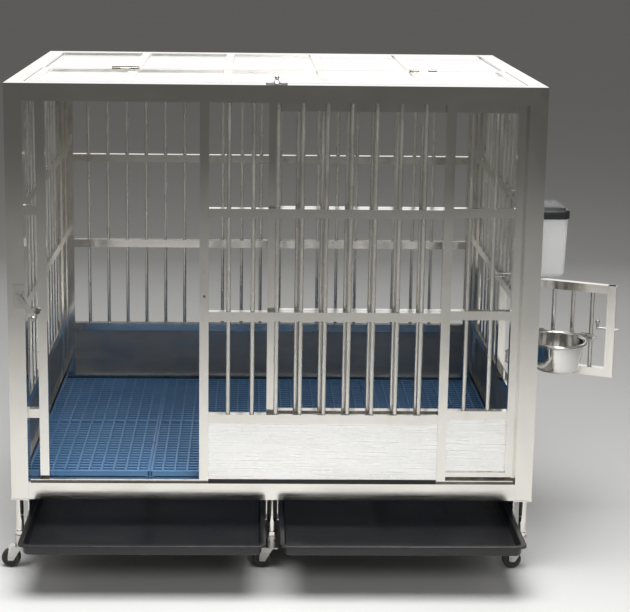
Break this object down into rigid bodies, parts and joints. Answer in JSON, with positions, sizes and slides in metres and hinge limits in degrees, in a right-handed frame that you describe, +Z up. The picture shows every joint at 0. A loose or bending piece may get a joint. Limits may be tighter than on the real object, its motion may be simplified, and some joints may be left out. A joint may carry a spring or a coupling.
{
  "type": "kennel cage",
  "caption": "Kennel cage on casters with barred steel walls, a sliding front door, a hinged roof flap, a side feed door with a bowl, a slatted floor and slide-out trays.",
  "frame": {"origin": "on the ground under the middle of the cage body", "axes": "+X to the right seen from the front, +Y to the rear, +Z up"},
  "size_m": [1.359, 0.842, 1.059],
  "materials": {
    "polished_steel": "mirror polished stainless steel",
    "sheet_steel": "polished thin sheet, slightly wavy",
    "roof_sheet_steel": "bright sheet",
    "blue_plastic": "satin moulded plastic",
    "black_plastic": "satin moulded plastic",
    "white_plastic": "smooth moulded plastic",
    "dark_plastic": "smooth moulded plastic",
    "zinc_hardware": "plated",
    "bowl_steel": "bright spun stainless steel",
    "wheel_rubber": "matt"
  },
  "bodies": {
    "cage": {"corner_posts": "polished_steel", "post_end_plates": "polished_steel", "top_rail_front": "polished_steel", "top_rails_rear_side": "polished_steel", "sill_rails": "polished_steel", "floor_bearers": "polished_steel", "floor_panel_1": "blue_plastic", "floor_panel_2": "blue_plastic", "floor_panel_3": "blue_plastic", "floor_panel_4": "blue_plastic", "tray_runners": "polished_steel", "legs": "polished_steel", "jamb": "polished_steel", "front_fixed_frame": "polished_steel", "front_fixed_bars": "polished_steel", "front_fixed_sheet": "sheet_steel", "left_frame": "polished_steel", "left_bars": "polished_steel", "right_frame": "polished_steel", "right_bars": "polished_steel", "side_sheets": "sheet_steel", "rear_frame": "polished_steel", "rear_bars": "polished_steel", "rear_sheet": "sheet_steel", "latch_plate": "zinc_hardware", "roof_frame": "polished_steel", "roof_sheet": "roof_sheet_steel", "flap_hinges": "zinc_hardware", "feed_hinge_lugs": "zinc_hardware", "feed_keeper": "zinc_hardware", "tank_body": "white_plastic", "drink_nozzle": "zinc_hardware"},
    "sliding_door": {"door_frame": "polished_steel", "door_bars": "polished_steel", "door_sheet": "sheet_steel", "door_glide": "black_plastic"},
    "latch": {"latch_lever": "zinc_hardware"},
    "roof_flap": {"flap_frame": "polished_steel", "flap_sheet": "roof_sheet_steel"},
    "turn_button": {"roof_button": "zinc_hardware"},
    "feed_door": {"feed_door_frame": "polished_steel", "feed_door_bars": "polished_steel", "bowl_bracket": "zinc_hardware"},
    "door_bolt": {"feed_bolt": "zinc_hardware"},
    "food_bowl": {"bowl": "bowl_steel"},
    "tank_cap": {"tank_lid": "dark_plastic"},
    "left_tray": {"tray_left": "black_plastic"},
    "right_tray": {"tray_right": "black_plastic"},
    "caster_1": {"caster_fork_1": "zinc_hardware"},
    "wheel_1": {"caster_wheel_1": "wheel_rubber"},
    "caster_2": {"caster_fork_2": "zinc_hardware"},
    "wheel_2": {"caster_wheel_2": "wheel_rubber"},
    "caster_3": {"caster_fork_3": "zinc_hardware"},
    "wheel_3": {"caster_wheel_3": "wheel_rubber"},
    "caster_4": {"caster_fork_4": "zinc_hardware"},
    "wheel_4": {"caster_wheel_4": "wheel_rubber"},
    "caster_5": {"caster_fork_5": "zinc_hardware"},
    "wheel_5": {"caster_wheel_5": "wheel_rubber"},
    "caster_6": {"caster_fork_6": "zinc_hardware"},
    "wheel_6": {"caster_wheel_6": "wheel_rubber"}
  },
  "joints": [
    {"name": "door_slide", "type": "slide", "parent": "cage", "child": "sliding_door", "axis": [-1, 0, 0], "range_m": [0, 0.336]},
    {"name": "latch_swing", "type": "hinge", "parent": "cage", "child": "latch", "pos_m": [-0.527, -0.354, 0.598], "axis": [0, -1, 0], "range_deg": [-35, 53]},
    {"name": "roof_flap_hinge", "type": "hinge", "parent": "cage", "child": "roof_flap", "pos_m": [0, -0.05025, 1.0444], "axis": [-1, 0, 0], "range_deg": [0, 110]},
    {"name": "turn_button_turn", "type": "hinge", "parent": "cage", "child": "turn_button", "pos_m": [0, -0.336, 1.04], "axis": [0, 0, 1], "range_deg": [0, 90]},
    {"name": "feed_door_hinge", "type": "hinge", "parent": "cage", "child": "feed_door", "pos_m": [0.551, -0.011, 0.46], "axis": [0, 0, 1], "range_deg": [-68, 42]},
    {"name": "feed_bolt_slide", "type": "slide", "parent": "feed_door", "child": "door_bolt", "axis": [0.9272, -0.3746, 0], "range_m": [-0.003, 0.013]},
    {"name": "bowl_lift", "type": "slide", "parent": "feed_door", "child": "food_bowl", "axis": [0, 0, 1], "range_m": [0, 0.09]},
    {"name": "tank_cap_lift", "type": "slide", "parent": "cage", "child": "tank_cap", "axis": [0, 0, 1], "range_m": [0, 0.06]},
    {"name": "left_tray_slide", "type": "slide", "parent": "cage", "child": "left_tray", "axis": [0, 1, 0], "range_m": [-0.35, 0.141]},
    {"name": "right_tray_slide", "type": "slide", "parent": "cage", "child": "right_tray", "axis": [0, 1, 0], "range_m": [-0.35, 0.141]},
    {"name": "swivel_1", "type": "hinge", "parent": "cage", "child": "caster_1", "pos_m": [-0.536, -0.332, 0.07], "axis": [0, 0, 1], "continuous": true},
    {"name": "roll_1", "type": "hinge", "parent": "caster_1", "child": "wheel_1", "pos_m": [-0.556, -0.332, 0.02], "axis": [0, 1, 0], "continuous": true},
    {"name": "swivel_2", "type": "hinge", "parent": "cage", "child": "caster_2", "pos_m": [0, -0.332, 0.07], "axis": [0, 0, 1], "continuous": true},
    {"name": "roll_2", "type": "hinge", "parent": "caster_2", "child": "wheel_2", "pos_m": [-0.02, -0.332, 0.02], "axis": [0, 1, 0], "continuous": true},
    {"name": "swivel_3", "type": "hinge", "parent": "cage", "child": "caster_3", "pos_m": [0.536, -0.332, 0.07], "axis": [0, 0, 1], "continuous": true},
    {"name": "roll_3", "type": "hinge", "parent": "caster_3", "child": "wheel_3", "pos_m": [0.516, -0.332, 0.02], "axis": [0, 1, 0], "continuous": true},
    {"name": "swivel_4", "type": "hinge", "parent": "cage", "child": "caster_4", "pos_m": [-0.536, 0.332, 0.07], "axis": [0, 0, 1], "continuous": true},
    {"name": "roll_4", "type": "hinge", "parent": "caster_4", "child": "wheel_4", "pos_m": [-0.556, 0.332, 0.02], "axis": [0, 1, 0], "continuous": true},
    {"name": "swivel_5", "type": "hinge", "parent": "cage", "child": "caster_5", "pos_m": [0, 0.332, 0.07], "axis": [0, 0, 1], "continuous": true},
    {"name": "roll_5", "type": "hinge", "parent": "caster_5", "child": "wheel_5", "pos_m": [-0.02, 0.332, 0.02], "axis": [0, 1, 0], "continuous": true},
    {"name": "swivel_6", "type": "hinge", "parent": "cage", "child": "caster_6", "pos_m": [0.536, 0.332, 0.07], "axis": [0, 0, 1], "continuous": true},
    {"name": "roll_6", "type": "hinge", "parent": "caster_6", "child": "wheel_6", "pos_m": [0.516, 0.332, 0.02], "axis": [0, 1, 0], "continuous": true}
  ]
}
